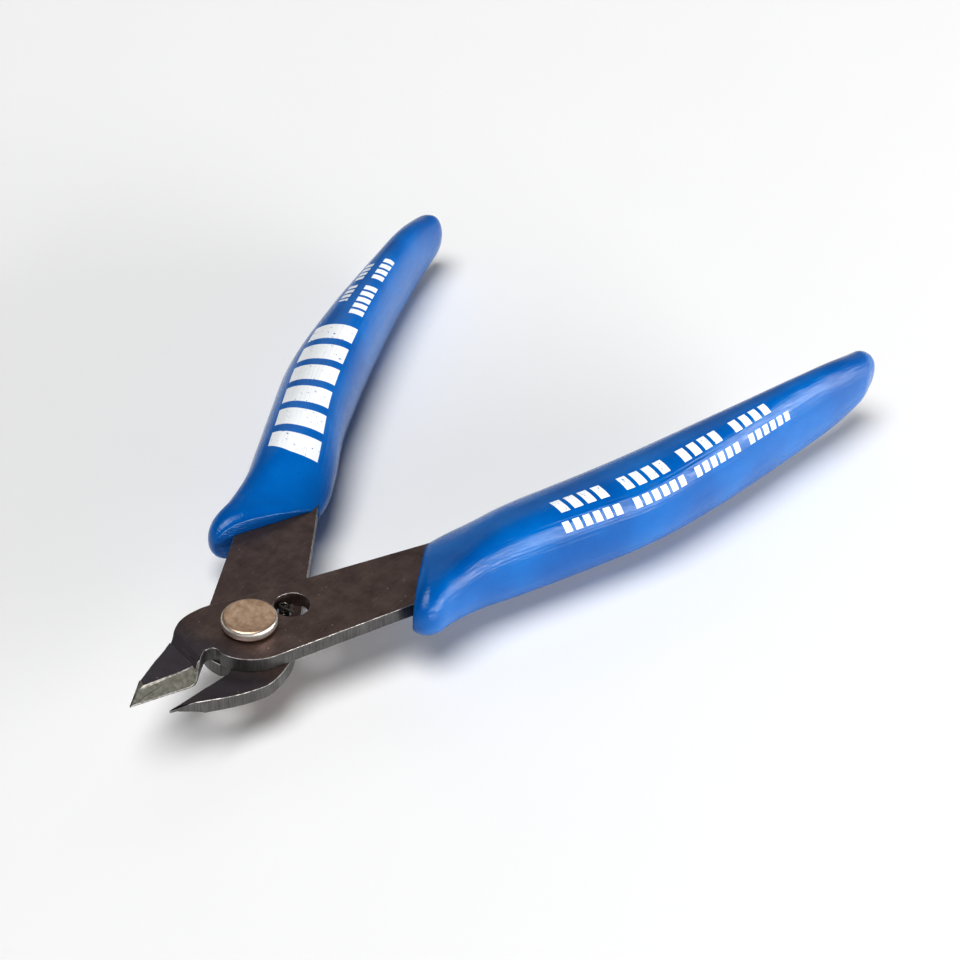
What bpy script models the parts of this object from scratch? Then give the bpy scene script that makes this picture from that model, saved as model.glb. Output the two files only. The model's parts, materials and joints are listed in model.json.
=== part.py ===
"""Flush cutter: two stamped blade halves on one rivet, a coil spring and two moulded grips.

The jaws point to -Y and the handles to +Y, lying flat with the blade plates level.
The upper half carries the right-hand handle and the left-hand jaw, the lower half the mirror image.
Shapes are drawn in millimetres about the pivot axis, with z = 0 midway between the two plates, and
each finished mesh is scaled to metres. Rest is the open pose.
"""

import math

import bmesh
import bpy
import numpy as np
from mathutils import Matrix, Vector

MM = 0.001
UPPER = 1
LOWER = -1

# Blade plates
PLATE = 1.9  # thickness of the sheet steel
MATE = 0.15  # each plate's inner face stands this far from the middle plane
HEAD_R = 6.3  # front of the head, about the pivot
HEAD_SIDE_R = 6.76  # distance of the handle's outer edge from the pivot
OUTER_DEG = 25.22  # direction of the handle's outer edge, from +Y outward
RIVET_HOLE_R = 2.3
WINDOW_R = 2.5  # round windows that hold the spring
UPPER_WINDOW = (1.84, 6.73)
LOWER_WINDOW = (-1.0, 6.9)
NOTCH_R = 1.1  # stripping notch between the head and the jaw
NOTCH = (-0.75, -7.05)

# Jaws, bent upward across a line in front of the head
BEND_DEG = 16.0
BEND_AT = 10.0
BEND_HALF = 2.5
JAW_LEAN_DEG = 7.0  # each jaw's own direction leans this far outward from -Y
GROUND = 1.5  # thickness left on the upper jaw in front of its crease
EDGE_LAND = 0.12  # flat left on a cutting edge
LOWER_LAND = 0.6  # depth of the lower jaw's cutting side above its relief
ABOVE = 3.0  # how far cutters pass a plate's outer face

# Handles, in chord coordinates: s along the handle, c outward across it
CHORD_DEG = 21.0
TANG_END = 94.0
TANG_GAP = 0.3
GRIP_MOUTH = 8.0  # where the tang's slot starts, ahead of the rim
GRIP_FRONT = (18.6, 29.3)  # s of the rim on the outer and the inner side
GRIP_LIP = 1.6  # depth of the rounded front rim
GRIP_LIP_STEPS = 4
GRIP_EVEN = 30.0  # length over which the slanted rim turns into square sections
GRIP_BODY_END = 109.5
GRIP_END = 114.5
GRIP_END_STEPS = 6
GRIP_END_DEG = 81.8  # the rounded end stops just short of closing
GRIP_END_TURN = 0.16  # inward slant of the outer side past the body's end
GRIP_LIP_FLAT = 0.8  # share of the rim's rounding that also lowers its height
GRIP_LIP_INSIDE = 0.25  # and that moves its inner side outward
GRIP_POWER = 2.25  # superellipse power of the grip's section
GRIP_SKEW = 0.47  # at the rim the outer side is this share higher, and the inner side lower
GRIP_SKEW_END = 62.0
GRIP_RINGS = 30
GRIP_SIDES = 24
GRIP_OUTER = (
    (18.4, 11.45), (21.3, 12.2), (24.5, 11.3), (31.0, 10.25), (37.0, 10.5), (48.0, 11.3),
    (60.0, 12.0), (75.0, 10.2), (92.0, 7.1), (106.0, 4.7), (112.0, 3.4),
)
GRIP_INNER = (
    (29.0, -1.75), (33.0, -2.05), (39.0, -1.5), (50.0, 0.05), (64.0, 0.65), (78.0, 0.75),
    (92.0, 0.35), (105.0, -0.8), (112.0, -2.1),
)
GRIP_HALF_HEIGHT = (
    (20.0, 2.9), (24.0, 3.4), (29.0, 4.1), (37.0, 5.75), (48.0, 6.6), (60.0, 6.85), (72.0, 7.2),
    (83.0, 7.1), (94.0, 6.65), (104.0, 5.7), (110.0, 4.4),
)
GRIP_MID = MATE + PLATE / 2
FLOOR = GRIP_MID + 7.207  # the lower grip stands on its lowest line, this far under the middle plane

# Rivet
SHANK_R = 2.0
RIVET_HEAD_R = 3.7
RIVET_TOP = 4.05  # crown of the head above the middle plane
RIVET_TAIL_R = 3.2
RIVET_TAIL = 3.3
RIVET_GAP = 0.3
RIVET_STEPS = 40

# Spring
WIRE = 0.4
COIL_R = 0.55
COIL_AT = (0.45, 6.85)
COIL_HALF = 1.3
COIL_TURNS = 5
COIL_STEPS = 14
WIRE_SIDES = 8
UPPER_LEG_END = 3.7
LOWER_LEG_END = -2.85

SHARP_DEG = 35.0  # edges sharper than this are shaded sharp
PIVOT_Y = -42.5  # pivot axis in the object's frame, so that the box is centred


# Small helpers

def chord(s, c):
    """The plan point s along the upper handle's chord and c outward from it."""
    angle = math.radians(CHORD_DEG)
    return (s * math.sin(angle) + c * math.cos(angle), s * math.cos(angle) - c * math.sin(angle))


def plate_inner(s):
    """Inner edge of the handle plate, in chord coordinates."""
    return -6.19 + 0.1638 * s


def plate_outer(s):
    """Outer edge of the handle plate, in chord coordinates."""
    return 6.79 + 0.0738 * s


def arc(centre, radius, start_deg, end_deg, steps):
    """Points on an arc whose radius may grow evenly from radius[0] to radius[1]."""
    points = []
    for i in range(steps + 1):
        share = i / steps
        angle = math.radians(start_deg + (end_deg - start_deg) * share)
        r = radius[0] + (radius[1] - radius[0]) * share
        points.append((centre[0] + r * math.cos(angle), centre[1] + r * math.sin(angle)))
    return points


def through(points, steps):
    """A smooth open curve (Catmull-Rom) through the points, steps stretches between each two."""
    p = [Vector((x, y)) for x, y in points]
    p = [2 * p[0] - p[1]] + p + [2 * p[-1] - p[-2]]
    curve = []
    for a, b, c, d in zip(p, p[1:], p[2:], p[3:]):
        for i in range(steps):
            t = i / steps
            bow = (2 * a - 5 * b + 4 * c - d) * t**2 + (3 * b - a - 3 * c + d) * t**3
            q = b + ((c - a) * t + bow) / 2
            curve.append((q.x, q.y))
    curve.append(tuple(points[-1]))
    return curve


def smooth(points, x):
    """Value at x of the smooth curve through (x, value) points."""
    xs = np.array([p[0] for p in points])
    ys = np.array([p[1] for p in points])
    slope = np.gradient(ys, xs)
    x = min(max(x, xs[0]), xs[-1])
    i = min(max(int(np.searchsorted(xs, x)) - 1, 0), len(xs) - 2)
    h = xs[i + 1] - xs[i]
    u = (x - xs[i]) / h
    start = (2 * u**3 - 3 * u**2 + 1) * ys[i] + (u**3 - 2 * u**2 + u) * h * slope[i]
    end = (3 * u**2 - 2 * u**3) * ys[i + 1] + (u**3 - u**2) * h * slope[i + 1]
    return start + end


def mirrored(points):
    """The outline on the other side of the tool, still running anticlockwise."""
    return [(-x, y) for x, y in reversed(points)]


def new_object(name, bm):
    mesh = bpy.data.meshes.new(name)
    bm.to_mesh(mesh)
    bm.free()
    obj = bpy.data.objects.new(name, mesh)
    bpy.context.collection.objects.link(obj)
    return obj


def prism(name, outline, bottom, top):
    """A closed prism. bottom and top are heights, or functions of (x, y)."""
    low = bottom if callable(bottom) else lambda x, y: bottom
    high = top if callable(top) else lambda x, y: top
    bm = bmesh.new()
    under = [bm.verts.new((x, y, low(x, y))) for x, y in outline]
    over = [bm.verts.new((x, y, high(x, y))) for x, y in outline]
    bm.faces.new(list(reversed(under)))
    bm.faces.new(over)
    for i in range(len(outline)):
        j = (i + 1) % len(outline)
        bm.faces.new((under[i], under[j], over[j], over[i]))
    return new_object(name, bm)


def cut(obj, cutters):
    """Takes each cutter out of the object, then removes the cutters."""
    for cutter in cutters:
        modifier = obj.modifiers.new("cut", "BOOLEAN")
        modifier.operation = "DIFFERENCE"
        modifier.solver = "EXACT"
        modifier.object = cutter
    bpy.context.view_layer.update()
    graph = bpy.context.evaluated_depsgraph_get()
    result = bpy.data.meshes.new_from_object(obj.evaluated_get(graph))
    obj.modifiers.clear()
    obj.data = result
    for cutter in cutters:
        bpy.data.objects.remove(cutter)


def finish(obj, location, parent, sharp_deg):
    """Scales the mesh from millimetres to metres, shades it and places the object."""
    obj.data.transform(Matrix.Scale(MM, 4))
    obj.data.shade_smooth()
    obj.data.set_sharp_from_angle(angle=math.radians(sharp_deg))
    obj.location = location
    obj.parent = parent


def material(name, colour, roughness, metallic):
    result = bpy.data.materials.new(name)
    result.use_nodes = True
    shader = result.node_tree.nodes["Principled BSDF"]
    shader.inputs["Base Color"].default_value = (*colour, 1.0)
    shader.inputs["Roughness"].default_value = roughness
    shader.inputs["Metallic"].default_value = metallic
    return result


# Blades

def tang(grow):
    """Right and left side of the tang's outline, larger all round by grow."""
    end = TANG_END + grow
    outer = ((50.0, 8.6), (72.0, 7.9), (end, 4.9))
    inner = ((end, 1.6), (72.0, 3.3), (50.0, 2.6), (38.0, 0.9), (33.5, -0.3))
    right = [chord(31.0, plate_outer(31.0) + grow)] + [chord(s, c + grow) for s, c in outer]
    left = [chord(s, c - grow) for s, c in inner] + [chord(31.2, plate_inner(31.2) - grow)]
    return right, left


def head_side():
    """Front of the head round to the handle's outer edge."""
    return arc((0.0, 0.0), (HEAD_R, HEAD_SIDE_R), -87.0, -OUTER_DEG, 8)


def notch(centre):
    return arc(centre, (NOTCH_R, NOTCH_R), 205.0, 45.0, 8)


def blade_outline(shoulder, jaw):
    """The whole blade, anticlockwise from where its inner edge leaves the grip."""
    right, left = tang(0.0)
    bulge = through([chord(1.0, plate_inner(1.0))] + shoulder, 3)
    return left[-1:] + bulge + jaw + notch(NOTCH) + head_side() + right + left[:-1]


def upper_outline():
    shoulder = [(-7.2, 0.2), (-8.05, -2.2), (-8.2, -4.1), (-7.75, -5.75), (-7.05, -7.2)]
    jaw = [(-5.45, -12.5), (-3.5, -17.7), (-1.75, -21.9), (-1.6, -21.8)]
    throat = [(0.2, -12.7), (0.1, -11.3), (-1.1, -9.0)]
    return blade_outline(shoulder, jaw + throat)


def lower_outline():
    """Drawn as an upper blade and mirrored; its jaw is narrower."""
    shoulder = [(-6.7, 0.3), (-7.3, -2.0), (-7.5, -4.2), (-7.3, -6.0), (-6.5, -7.7)]
    jaw = [(-4.6, -11.4), (-2.9, -14.8), (-2.0, -17.4), (-2.08, -18.95), (-1.98, -18.9)]
    throat = [(-1.4, -11.3), (-1.6, -8.6)]
    return mirrored(blade_outline(shoulder, jaw + throat))


def disc(name, centre, radius, low, high, steps=32):
    return prism(name, arc(centre, (radius, radius), 0.0, 360.0 - 360.0 / steps, steps - 1), low, high)


def plane_height(a, b, c):
    """Height at (x, y) of the plane through three points."""
    a, b, c = Vector(a), Vector(b), Vector(c)
    normal = (b - a).cross(c - a)
    return lambda x, y: a.z - (normal.x * (x - a.x) + normal.y * (y - a.y)) / normal.z


def jaw_rise(side):
    """Height that the bend gives to a point of a blade's jaw."""
    lean = math.radians(JAW_LEAN_DEG)
    slope = math.tan(math.radians(BEND_DEG))
    stations = [BEND_AT + BEND_HALF * k / 2 for k in range(-2, 3)]
    heights = [slope * (s - BEND_AT + BEND_HALF) ** 2 / (4 * BEND_HALF) for s in stations]
    far = 60.0

    def forward(x, y):
        return -side * math.sin(lean) * x - math.cos(lean) * y

    def rise(x, y):
        return float(np.interp(forward(x, y), stations + [far], heights + [slope * (far - BEND_AT)]))

    return stations, Vector((-side * math.sin(lean), -math.cos(lean), 0.0)), rise


def bend(obj, side):
    """Splits the blade along the bend's stations, then lifts the jaw."""
    stations, forward, rise = jaw_rise(side)
    bm = bmesh.new()
    bm.from_mesh(obj.data)
    for station in stations:
        geometry = bm.verts[:] + bm.edges[:] + bm.faces[:]
        bmesh.ops.bisect_plane(bm, geom=geometry, dist=1e-5, plane_co=forward * station, plane_no=forward)
    for vertex in bm.verts:
        vertex.co.z += rise(vertex.co.x, vertex.co.y)
    bmesh.ops.dissolve_degenerate(bm, dist=1e-4, edges=bm.edges[:])
    bmesh.ops.triangulate(bm, faces=bm.faces[:])
    bmesh.ops.recalc_face_normals(bm, faces=bm.faces[:])
    bm.to_mesh(obj.data)
    bm.free()


def upper_blade():
    """Its jaw is ground flat in front of a crease, then bevelled along the edge and at the tip."""
    low, high = MATE, MATE + PLATE
    above = high + ABOVE
    edge = low + EDGE_LAND
    top = low + GROUND
    ground_area = [(-12.0, -5.24), (-12.0, -26.0), (6.0, -26.0), (6.0, -11.94)]
    bevel = plane_height((0.2, -12.7, edge), (-1.6, -21.8, edge), (-1.5, -10.5, top))
    bevel_area = [(-3.1, -23.5), (2.2, -23.5), (2.2, -8.9), (-1.25, -8.9)]
    tip = plane_height((-3.5, -17.7, top), (-2.26, -18.4, top), (-1.7, -21.9, edge))
    tip_area = [(-6.0, -16.2), (-6.0, -24.0), (1.5, -24.0), (1.5, -20.6)]
    blade = prism("upper_blade", upper_outline(), low, high)
    cut(
        blade,
        [
            disc("hole", (0.0, 0.0), RIVET_HOLE_R, low - ABOVE, above),
            disc("window", UPPER_WINDOW, WINDOW_R, low - ABOVE, above),
            prism("ground", ground_area, top, above),
            prism("bevel", bevel_area, bevel, above),
            prism("tip", tip_area, tip, above),
        ],
    )
    bend(blade, UPPER)
    return blade


def lower_blade():
    """Its jaw is relieved under the cutting edge and thinned towards the tip from below."""
    low, high = -MATE - PLATE, -MATE
    below = low - ABOVE
    edge = high - LOWER_LAND
    relief = plane_height((1.4, -11.3, edge), (2.0, -18.9, edge), (2.3, -11.3, low))
    relief_area = [(-2.0, -7.6), (-2.0, -21.5), (3.3, -21.5), (2.6, -7.6)]
    tip = plane_height((4.0, -13.7, low), (0.0, -14.1, low), (2.05, -18.95, high - 2 * EDGE_LAND))
    tip_area = [(-2.0, -14.3), (-2.0, -22.0), (8.0, -22.0), (8.0, -13.3)]
    blade = prism("lower_blade", lower_outline(), low, high)
    cut(
        blade,
        [
            disc("hole", (0.0, 0.0), RIVET_HOLE_R, below, high + ABOVE),
            disc("window", LOWER_WINDOW, WINDOW_R, below, high + ABOVE),
            prism("relief", relief_area, below, relief),
            prism("tip", tip_area, below, tip),
        ],
    )
    bend(blade, LOWER)
    return blade


# Rivet and spring

def pivot_rivet():
    """One turned pin: low crowned head, shank, and a peened tail."""
    seat = MATE + PLATE + RIVET_GAP
    head = [(0.0, RIVET_TOP), (1.6, RIVET_TOP), (2.4, RIVET_TOP - 0.07), (3.2, RIVET_TOP - 0.2)]
    head += [(3.5, RIVET_TOP - 0.32), (RIVET_HEAD_R - 0.05, RIVET_TOP - 0.5)]
    head += [(RIVET_HEAD_R, RIVET_TOP - 0.75), (RIVET_HEAD_R, seat)]
    tail = [(RIVET_TAIL_R, -seat), (RIVET_TAIL_R, -seat - 0.35), (2.5, -RIVET_TAIL + 0.15)]
    tail += [(1.3, -RIVET_TAIL), (0.0, -RIVET_TAIL)]
    profile = head + [(SHANK_R, seat), (SHANK_R, -seat)] + tail
    bm = bmesh.new()
    verts = [bm.verts.new((r, 0.0, z)) for r, z in profile]
    edges = [bm.edges.new(pair) for pair in zip(verts, verts[1:])]
    bmesh.ops.spin(
        bm,
        geom=verts + edges,
        axis=(0, 0, 1),
        cent=(0, 0, 0),
        steps=RIVET_STEPS,
        angle=math.tau,
        use_merge=True,
    )
    bmesh.ops.remove_doubles(bm, verts=bm.verts[:], dist=1e-4)
    bmesh.ops.recalc_face_normals(bm, faces=bm.faces[:])
    return new_object("pivot_rivet", bm)


def spring_path():
    """Lower leg, coil and upper leg, as one line of points."""
    x, y = COIL_AT
    points = [Vector((LOWER_LEG_END, y - COIL_R, -COIL_HALF)), Vector((x - 0.9, y - COIL_R, -COIL_HALF))]
    for i in range(COIL_TURNS * COIL_STEPS + 1):
        share = i / (COIL_TURNS * COIL_STEPS)
        angle = math.radians(-90.0) + math.tau * COIL_TURNS * share
        z = -COIL_HALF + 2 * COIL_HALF * share
        points.append(Vector((x + COIL_R * math.cos(angle), y + COIL_R * math.sin(angle), z)))
    points += [Vector((x + 0.9, y - COIL_R, COIL_HALF)), Vector((UPPER_LEG_END, y - COIL_R, COIL_HALF))]
    return points


def tube(name, path, radius, sides):
    """A round wire along the path, with flat ends. The wire never runs straight up."""
    bm = bmesh.new()
    rings = []
    for i, point in enumerate(path):
        before, after = path[max(i - 1, 0)], path[min(i + 1, len(path) - 1)]
        along = (after - before).normalized()
        across = along.cross(Vector((0, 0, 1))).normalized()
        over = across.cross(along)
        ring = []
        for k in range(sides):
            turn = math.tau * k / sides
            ring.append(bm.verts.new(point + radius * (across * math.cos(turn) + over * math.sin(turn))))
        rings.append(ring)
    for a, b in zip(rings, rings[1:]):
        for k in range(sides):
            j = (k + 1) % sides
            bm.faces.new((a[k], a[j], b[j], b[k]))
    bm.faces.new(rings[0])
    bm.faces.new(rings[-1])
    bmesh.ops.recalc_face_normals(bm, faces=bm.faces[:])
    return new_object(name, bm)


# Grips

def grip_stations():
    """(s on the outer side, s on the inner side, inset, scale) of every section, rim to end."""
    outer_start = GRIP_FRONT[0] + GRIP_LIP
    inner_start = GRIP_FRONT[1] + GRIP_LIP
    stations = []
    for k in range(GRIP_LIP_STEPS):
        angle = math.radians(90.0 * k / GRIP_LIP_STEPS)
        depth = GRIP_LIP * (1 - math.cos(angle))
        stations.append((GRIP_FRONT[0] + depth, GRIP_FRONT[1] + depth, 1 - math.sin(angle), 1.0))
    for k in range(GRIP_RINGS + 1):
        outer = outer_start + (GRIP_BODY_END - outer_start) * (k / GRIP_RINGS) ** 1.15
        share = min(1.0, (outer - outer_start) / GRIP_EVEN)
        lag = (inner_start - outer_start) * (1 - share) ** 2 * (1 + 2 * share)
        stations.append((outer, min(outer + lag, GRIP_BODY_END), 0.0, 1.0))
    last = math.radians(GRIP_END_DEG)
    for k in range(1, GRIP_END_STEPS + 1):
        angle = last * k / GRIP_END_STEPS
        s = GRIP_BODY_END + (GRIP_END - GRIP_BODY_END) * math.sin(angle) / math.sin(last)
        stations.append((s, s, 0.0, math.cos(angle)))
    return stations


def grip_section(outer_s, inner_s, inset, scale):
    """The section's centre and half width in plan, its half height and its skew."""
    drop = max(0.0, outer_s - GRIP_BODY_END)
    outer_c = smooth(GRIP_OUTER, outer_s) - GRIP_END_TURN * drop - inset
    inner_c = smooth(GRIP_INNER, inner_s) + GRIP_LIP_INSIDE * inset
    outer = Vector(chord(outer_s, outer_c))
    inner = Vector(chord(inner_s, inner_c))
    middle_s = (outer_s + inner_s) / 2
    height = (smooth(GRIP_HALF_HEIGHT, middle_s) - GRIP_LIP_FLAT * inset) * scale
    share = (middle_s - GRIP_FRONT[0]) / (GRIP_SKEW_END - GRIP_FRONT[0])
    share = min(1.0, max(0.0, share))
    skew = GRIP_SKEW * (1 - share) ** 2 * (1 + 2 * share)
    return (outer + inner) / 2, (outer - inner) / 2 * scale, height, skew


def power(value, exponent):
    return math.copysign(abs(value) ** exponent, value)


def grip(name, side):
    bm = bmesh.new()
    rings = []
    for station in grip_stations():
        centre, half, height, skew = grip_section(*station)
        ring = []
        for k in range(GRIP_SIDES):
            angle = math.tau * k / GRIP_SIDES
            outward = power(math.cos(angle), 2 / GRIP_POWER)
            point = centre + half * outward
            z = side * GRIP_MID + height * power(math.sin(angle), 2 / GRIP_POWER) * (1 + skew * outward)
            ring.append(bm.verts.new((side * point.x, point.y, z)))
        rings.append(ring)
    for a, b in zip(rings, rings[1:]):
        for k in range(GRIP_SIDES):
            j = (k + 1) % GRIP_SIDES
            bm.faces.new((a[k], a[j], b[j], b[k]))
    bm.faces.new(rings[0])
    bm.faces.new(rings[-1])
    bmesh.ops.recalc_face_normals(bm, faces=bm.faces[:])
    sleeve = new_object(name, bm)
    right, left = tang(TANG_GAP)
    outline = [chord(GRIP_MOUTH, plate_outer(GRIP_MOUTH) + TANG_GAP)] + right + left
    outline.append(chord(GRIP_MOUTH, plate_inner(GRIP_MOUTH) - TANG_GAP))
    if side == LOWER:
        outline = mirrored(outline)
    half = PLATE / 2 + TANG_GAP
    cut(sleeve, [prism("slot", outline, side * GRIP_MID - half, side * GRIP_MID + half)])
    return sleeve


def build():
    for obj in list(bpy.data.objects):
        bpy.data.objects.remove(obj, do_unlink=True)
    steel = material("black_oxide_steel", (0.055, 0.043, 0.038), 0.42, 1.0)
    lower_steel = material("black_oxide_steel_lower", (0.05, 0.04, 0.036), 0.42, 1.0)
    nickel = material("satin_nickel", (0.42, 0.34, 0.27), 0.32, 1.0)
    wire = material("spring_wire", (0.32, 0.31, 0.3), 0.35, 1.0)
    blue = material("blue_vinyl", (0.004, 0.1, 0.5), 0.2, 0.0)
    lower_blue = material("blue_vinyl_lower", (0.004, 0.1, 0.5), 0.2, 0.0)
    location = Vector((0.0, PIVOT_Y * MM, FLOOR * MM))
    upper_body = bpy.data.objects.new("upper_half_axis", None)
    bpy.context.collection.objects.link(upper_body)
    upper_body.location = location
    pieces = [
        (upper_blade(), steel, upper_body),
        (grip("upper_grip", UPPER), blue, upper_body),
        (lower_blade(), lower_steel, None),
        (grip("lower_grip", LOWER), lower_blue, None),
        (pivot_rivet(), nickel, None),
        (tube("return_spring", spring_path(), WIRE / 2, WIRE_SIDES), wire, None),
    ]
    for obj, finish_material, parent in pieces:
        obj.data.materials.clear()
        obj.data.materials.append(finish_material)
        finish(obj, (0.0, 0.0, 0.0) if parent else location, parent, SHARP_DEG)


build()
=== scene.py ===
"""Looks of the flush cutter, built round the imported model.

Detailed blades, rivet, spring and grips replace the plain CAD solids. Each is drawn in millimetres
about the pivot axis, with z = 0 between the two plates, and then scaled to metres at the pivot.
"""

import json
import math
from collections import namedtuple

import bmesh
import bpy
import numpy as np
from mathutils import Matrix, Vector


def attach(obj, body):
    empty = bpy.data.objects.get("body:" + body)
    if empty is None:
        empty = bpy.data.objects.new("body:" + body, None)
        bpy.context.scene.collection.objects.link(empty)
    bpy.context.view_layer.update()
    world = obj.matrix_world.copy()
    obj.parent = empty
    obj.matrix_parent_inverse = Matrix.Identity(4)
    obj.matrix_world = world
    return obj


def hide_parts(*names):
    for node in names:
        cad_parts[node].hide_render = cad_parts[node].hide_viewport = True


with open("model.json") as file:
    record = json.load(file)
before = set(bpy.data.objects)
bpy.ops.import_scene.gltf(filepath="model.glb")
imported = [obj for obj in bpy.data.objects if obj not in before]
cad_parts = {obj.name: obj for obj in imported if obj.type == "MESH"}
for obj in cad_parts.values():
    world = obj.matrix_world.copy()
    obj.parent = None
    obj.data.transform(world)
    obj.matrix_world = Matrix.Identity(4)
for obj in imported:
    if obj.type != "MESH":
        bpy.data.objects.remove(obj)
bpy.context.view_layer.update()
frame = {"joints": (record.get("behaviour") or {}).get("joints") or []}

MM = 0.001
UPPER = 1
LOWER = -1
SNAP = 1e-5  # points this near a splitting plane count as on it
MERGE = 1e-4  # points this near each other become one
PIVOT = Vector(frame["joints"][0]["pos_m"])

# Camera, turned about the point it is aimed at, which is given from the pivot
CAMERA_AZIMUTH_DEG = 30.71
CAMERA_ELEVATION_DEG = 36.2
CAMERA_ROLL_DEG = 2.58
CAMERA_DISTANCE = 304.15 * MM
CAMERA_AIM = Vector((5.94, 47.02, 0.0)) * MM
CAMERA_LENS_MM = 78.54

# Blade plates
MATE = 0.03  # inner face of each plate, from the middle plane
FACE = 2.05  # outer face of each plate
HEAD_R = 6.3  # front of the head, about the pivot
HEAD_SIDE_R = 6.76  # distance of the handle's outer edge from the pivot
HEAD_START_DEG = -87.0
HEAD_STEPS = 28
OUTER_DEG = 25.22  # direction of the handle's outer edge, from +Y outward
SHOULDER_STEPS = 8
RIVET_HOLE_R = 2.05
WINDOW_R = 2.42  # round windows that hold the spring
UPPER_WINDOW = (1.84, 6.73)
LOWER_WINDOW = (-1.0, 6.9)
DISC_STEPS = 72
NOTCH_R = 1.1  # stripping notch between the head and the jaw
NOTCH = (-0.75, -7.05)
NOTCH_DEG = (205.0, 45.0)
NOTCH_STEPS = 20
THROAT_STEPS = 6

# Jaws, bent upward across a line in front of the head
BEND_DEG = 16.0
BEND_AT = 10.0
BEND_HALF = 2.5
BEND_STEPS = 12
JAW_LEAN_DEG = 7.0  # each jaw's own direction leans this far outward from -Y
GROUND_FACE = 1.65  # height of the upper jaw's ground face, from the middle plane
SHOULDER_RUN = 0.75  # width of the rolled step behind the ground jaw
SHOULDER_OVER = 0.02  # how far the step's top passes the plate's outer face
EDGE_LAND = 0.2  # flat left on the upper cutting edge
LOWER_LAND = 0.6  # depth of the lower jaw's cutting side above its relief
LOWER_TIP = 0.3  # thickness left at the lower tip
ABOVE = 3.0  # how far cutters pass a plate's outer face
INSIDE = 1.0  # and its inner face
EDGE_ROUND = 0.085  # width of the worn rounding along every edge
EDGE_ROUND_STEPS = 2
EDGE_ROUND_DEG = 38.0  # edges flatter than this stay as they are
OXIDE, SIDE, GRIND, JAW, WORN = range(5)  # material slots of a blade

# Handles, in chord coordinates: s along the handle, c outward across it
CHORD_DEG = 21.0
TANG_END = 94.0
SLOT_GAP = 0.04
GRIP_MOUTH = 8.0  # where the tang's slot starts, ahead of the rim
GRIP_FRONT = (18.6, 29.3)  # s of the rim on the outer and the inner side
GRIP_LIP = 1.6  # depth of the rounded front rim
GRIP_LIP_STEPS = 10
GRIP_LIP_FLAT = 0.8  # share of the rim's rounding that also lowers its height
GRIP_LIP_INSIDE = 0.25  # and that moves its inner side outward
GRIP_EVEN = 30.0  # length over which the slanted rim turns into square sections
GRIP_BODY_END = 109.5
GRIP_END = 114.5
GRIP_END_STEPS = 18
GRIP_END_DEG = 89.0  # the rounded end stops just short of closing
GRIP_END_TURN = 0.16  # inward slant of the outer side past the body's end
GRIP_POWER = 2.25  # superellipse power of the grip's section
GRIP_SKEW = 0.47  # at the rim the outer side is this share higher, and the inner side lower
GRIP_SKEW_END = 62.0
GRIP_RINGS = 90
GRIP_CROWDING = 1.15  # above 1, the rings stand closer near the rim
GRIP_SIDES = 56
GRIP_OUTER = (
    (18.4, 11.45), (21.3, 12.2), (24.5, 11.3), (31.0, 10.25), (37.0, 10.5), (48.0, 11.3),
    (60.0, 12.0), (75.0, 10.2), (92.0, 7.1), (106.0, 4.7), (112.0, 3.4),
)
GRIP_INNER = (
    (29.0, -1.75), (33.0, -2.05), (39.0, -1.5), (50.0, 0.05), (64.0, 0.65), (78.0, 0.75),
    (92.0, 0.35), (105.0, -0.8), (112.0, -2.1),
)
GRIP_HALF_HEIGHT = (
    (20.0, 2.9), (24.0, 3.4), (29.0, 4.1), (37.0, 5.75), (48.0, 6.6), (60.0, 6.85), (72.0, 7.2),
    (83.0, 7.1), (94.0, 6.65), (104.0, 5.7), (110.0, 4.4),
)
GRIP_MID = 1.1  # height of a grip's middle, from the middle plane
GRIP_FIT = 0.999  # keeps the finer section within the CAD one
CHART_MM = 100.0  # length along the grip of one unit of its chart

# Rivet and spring
SHANK_R = 2.0
RIVET_HEAD_R = 3.7
RIVET_TOP = 4.05  # crown of the head above the middle plane
RIVET_TAIL_R = 3.2
RIVET_TAIL = 3.3
RIVET_SEAT = 0.01  # gap between the rivet's shoulders and the plates
RIVET_STEPS = 96
RIM_STEPS = 4
WIRE = 0.4
COIL_R = 0.55
COIL_AT = (0.45, 6.85)
COIL_HALF = 1.3
COIL_TURNS = 6
COIL_STEPS = 24
WIRE_SIDES = 12
LEG_START = 0.9  # the legs leave the coil this far from its axis
UPPER_LEG_END = 2.5
LOWER_LEG_END = -2.85

# Print on the grips: rows of slanted blocks between two s and two v values. Each block takes up the
# duty's share of its period, and the last block of every group is left out
PrintRow = namedtuple("PrintRow", "s_range v_range period duty slant group")
UPPER_PRINT = (
    PrintRow((44.0, 88.0), (0.12, 0.37), period=2.2, duty=0.68, slant=-2.0, group=5),
    PrintRow((43.0, 90.5), (0.52, 0.69), period=1.7, duty=0.66, slant=-2.0, group=7),
)
LOWER_PRINT = (
    PrintRow((36.0, 69.5), (-0.4, 0.34), period=5.7, duty=0.7, slant=2.5, group=9),
    PrintRow((72.0, 91.0), (-0.36, -0.08), period=1.9, duty=0.68, slant=2.5, group=6),
    PrintRow((75.5, 89.0), (0.06, 0.24), period=1.5, duty=0.66, slant=2.5, group=5),
)

# Edges sharper than this are shaded sharp
BLADE_SHARP_DEG = 12.0
RIVET_SHARP_DEG = 40.0
SOFT_SHARP_DEG = 50.0


# Outlines

def chord(s, c):
    """The plan point s along the upper handle's chord and c outward from it."""
    angle = math.radians(CHORD_DEG)
    return (s * math.sin(angle) + c * math.cos(angle), s * math.cos(angle) - c * math.sin(angle))


def plate_inner(s):
    """Inner edge of the handle's steel, out from the chord at s."""
    return -6.19 + 0.1638 * s


def plate_outer(s):
    """Outer edge of the handle's steel, out from the chord at s."""
    return 6.79 + 0.0738 * s


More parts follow.
